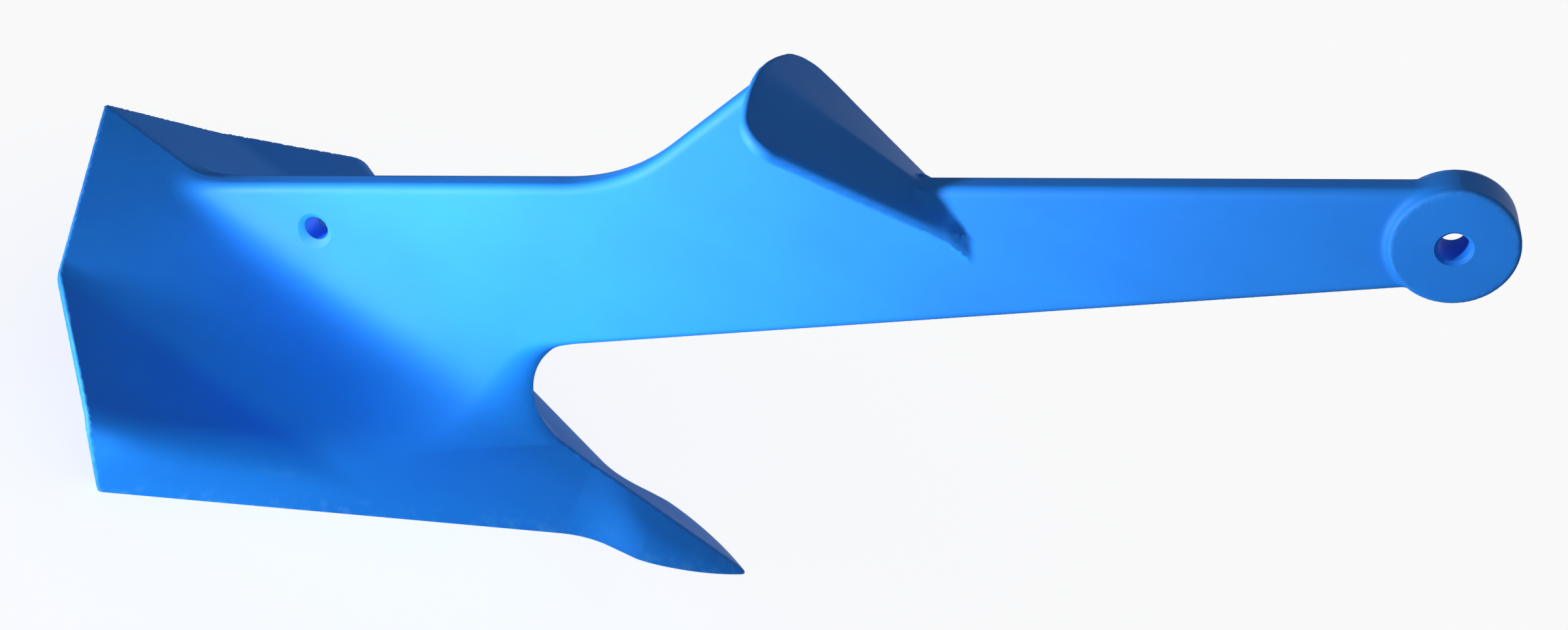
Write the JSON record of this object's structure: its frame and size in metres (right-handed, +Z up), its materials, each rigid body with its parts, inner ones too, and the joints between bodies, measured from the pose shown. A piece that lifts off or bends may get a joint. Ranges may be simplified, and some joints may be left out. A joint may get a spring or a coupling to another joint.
{
  "type": "fluke anchor",
  "caption": "One-piece moulded plough anchor with a bent hollow fluke, a spear nose, a flat tapered shank with a shackle eye and two small wings on a hump.",
  "frame": {"origin": "on the ground under the middle of the anchor's bounding box, with the anchor standing on the rim of its fluke", "axes": "+X from the fluke towards the shackle eye, the direction of pull; +Y to the anchor's left, square to its mirror plane and along the shackle pin; +Z up"},
  "size_m": [0.4476, 0.207, 0.2605],
  "materials": {
    "blue_nylon": "bright blue glass-filled nylon, moulded, smooth satin gloss with faint flow marks",
    "cast_ballast": "rough grey casting, sealed inside the nose"
  },
  "bodies": {
    "root": {"shackle_eye": "blue_nylon", "shank": "blue_nylon", "crown_web": "blue_nylon", "wing_post": "blue_nylon", "left_wing": "blue_nylon", "right_wing": "blue_nylon", "left_fluke_plate": "blue_nylon", "right_fluke_plate": "blue_nylon", "left_flank": "blue_nylon", "right_flank": "blue_nylon", "fluke_nose": "blue_nylon", "ballast_weight": "cast_ballast"}
  },
  "joints": []
}
